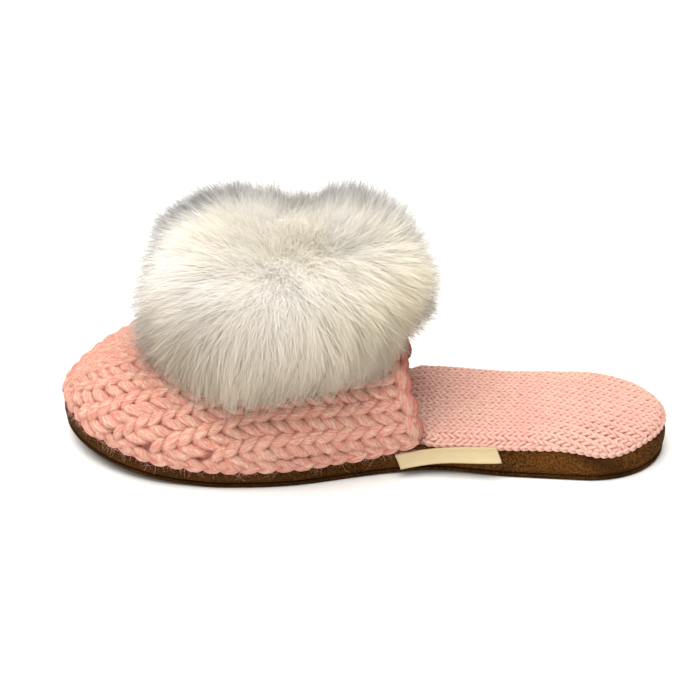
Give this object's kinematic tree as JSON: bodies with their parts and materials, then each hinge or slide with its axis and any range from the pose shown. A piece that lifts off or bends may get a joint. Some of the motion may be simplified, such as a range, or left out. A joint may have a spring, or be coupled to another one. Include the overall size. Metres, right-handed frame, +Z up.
{
  "type": "pom pom slipper",
  "caption": "Open-backed mule slipper for the right foot, with a chunky knitted vamp, a padded knit-covered insole, a soft suede sole and a fur pompom on the instep.",
  "frame": {"origin": "on the floor, under the middle of the heel's flat spot", "axes": "+X runs from heel to toe, +Y to the wearer's left, which is the inner side of this right shoe, and +Z up"},
  "size_m": [0.2608, 0.114, 0.1094],
  "materials": {
    "suede_outsole": "thin brown suede, matt, nap a little darker than the side",
    "suede_side": "soft brown suede, matt, brushed nap",
    "knit_fine_pink": "fine stocking-stitch knit in salmon pink wool, matt",
    "knit_chunky_pink": "bulky stocking-stitch hand knit in salmon pink plied wool with a soft halo, matt",
    "fur_white": "dense fluffy white to cream fur, matt with a soft sheen",
    "label_cream": "plain cream woven tape, folded, left blank"
  },
  "bodies": {
    "root": {"outsole": "suede_outsole", "midsole": "suede_side", "insole": "knit_fine_pink", "upper": "knit_chunky_pink", "pompom": "fur_white", "tag": "label_cream"}
  },
  "joints": []
}
